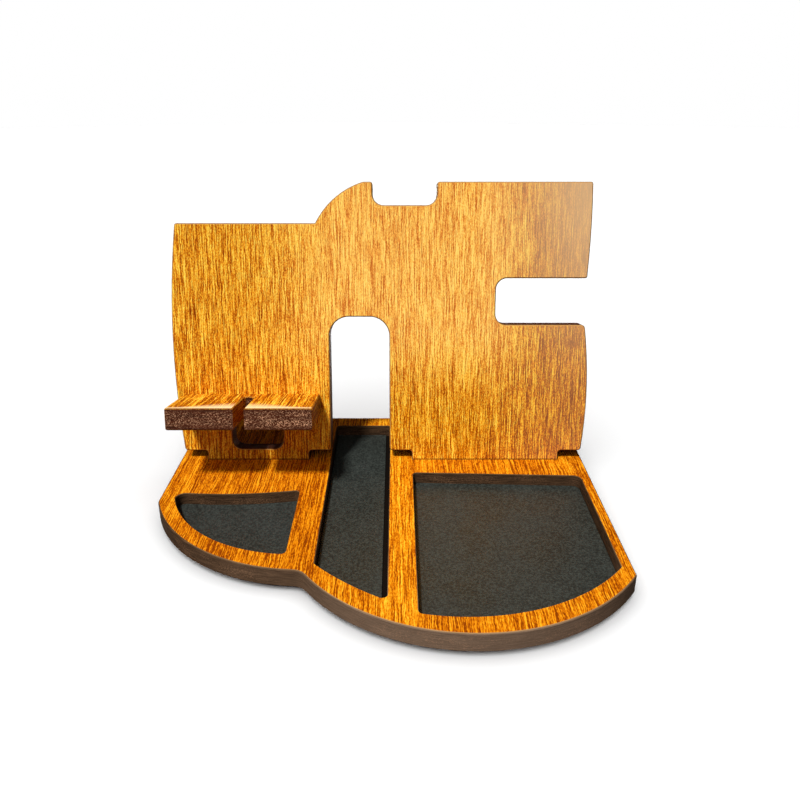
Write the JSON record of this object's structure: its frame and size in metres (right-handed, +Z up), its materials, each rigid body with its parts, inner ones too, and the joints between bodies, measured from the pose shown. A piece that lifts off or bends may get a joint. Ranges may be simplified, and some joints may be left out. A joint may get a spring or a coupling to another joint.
{
  "type": "charging station organizer",
  "caption": "Wooden desk organizer: lined base trays for small things, and a leaning panel with a phone shelf, cable hole, wallet arch, glasses dip and watch arm.",
  "frame": {"origin": "on the table, under the middle of the organizer's outline", "axes": "+X to the right as the user faces it, -Y to the front, towards the user, +Z up"},
  "size_m": [0.267, 0.232, 0.1865],
  "materials": {
    "stained_wood": "orange-brown stain with dark straight grain, satin lacquer",
    "liner": "near-black imitation leather, low sheen",
    "foot_pad": "black, matte"
  },
  "bodies": {
    "root": {"base_board": "stained_wood", "back_panel": "stained_wood", "phone_shelf": "stained_wood", "ring_tray_liner": "liner", "wallet_tray_liner": "liner", "side_tray_liner": "liner", "foot_rear_left": "foot_pad", "foot_rear_right": "foot_pad", "foot_front_left": "foot_pad", "foot_front_middle": "foot_pad", "foot_front_right": "foot_pad"}
  },
  "joints": []
}
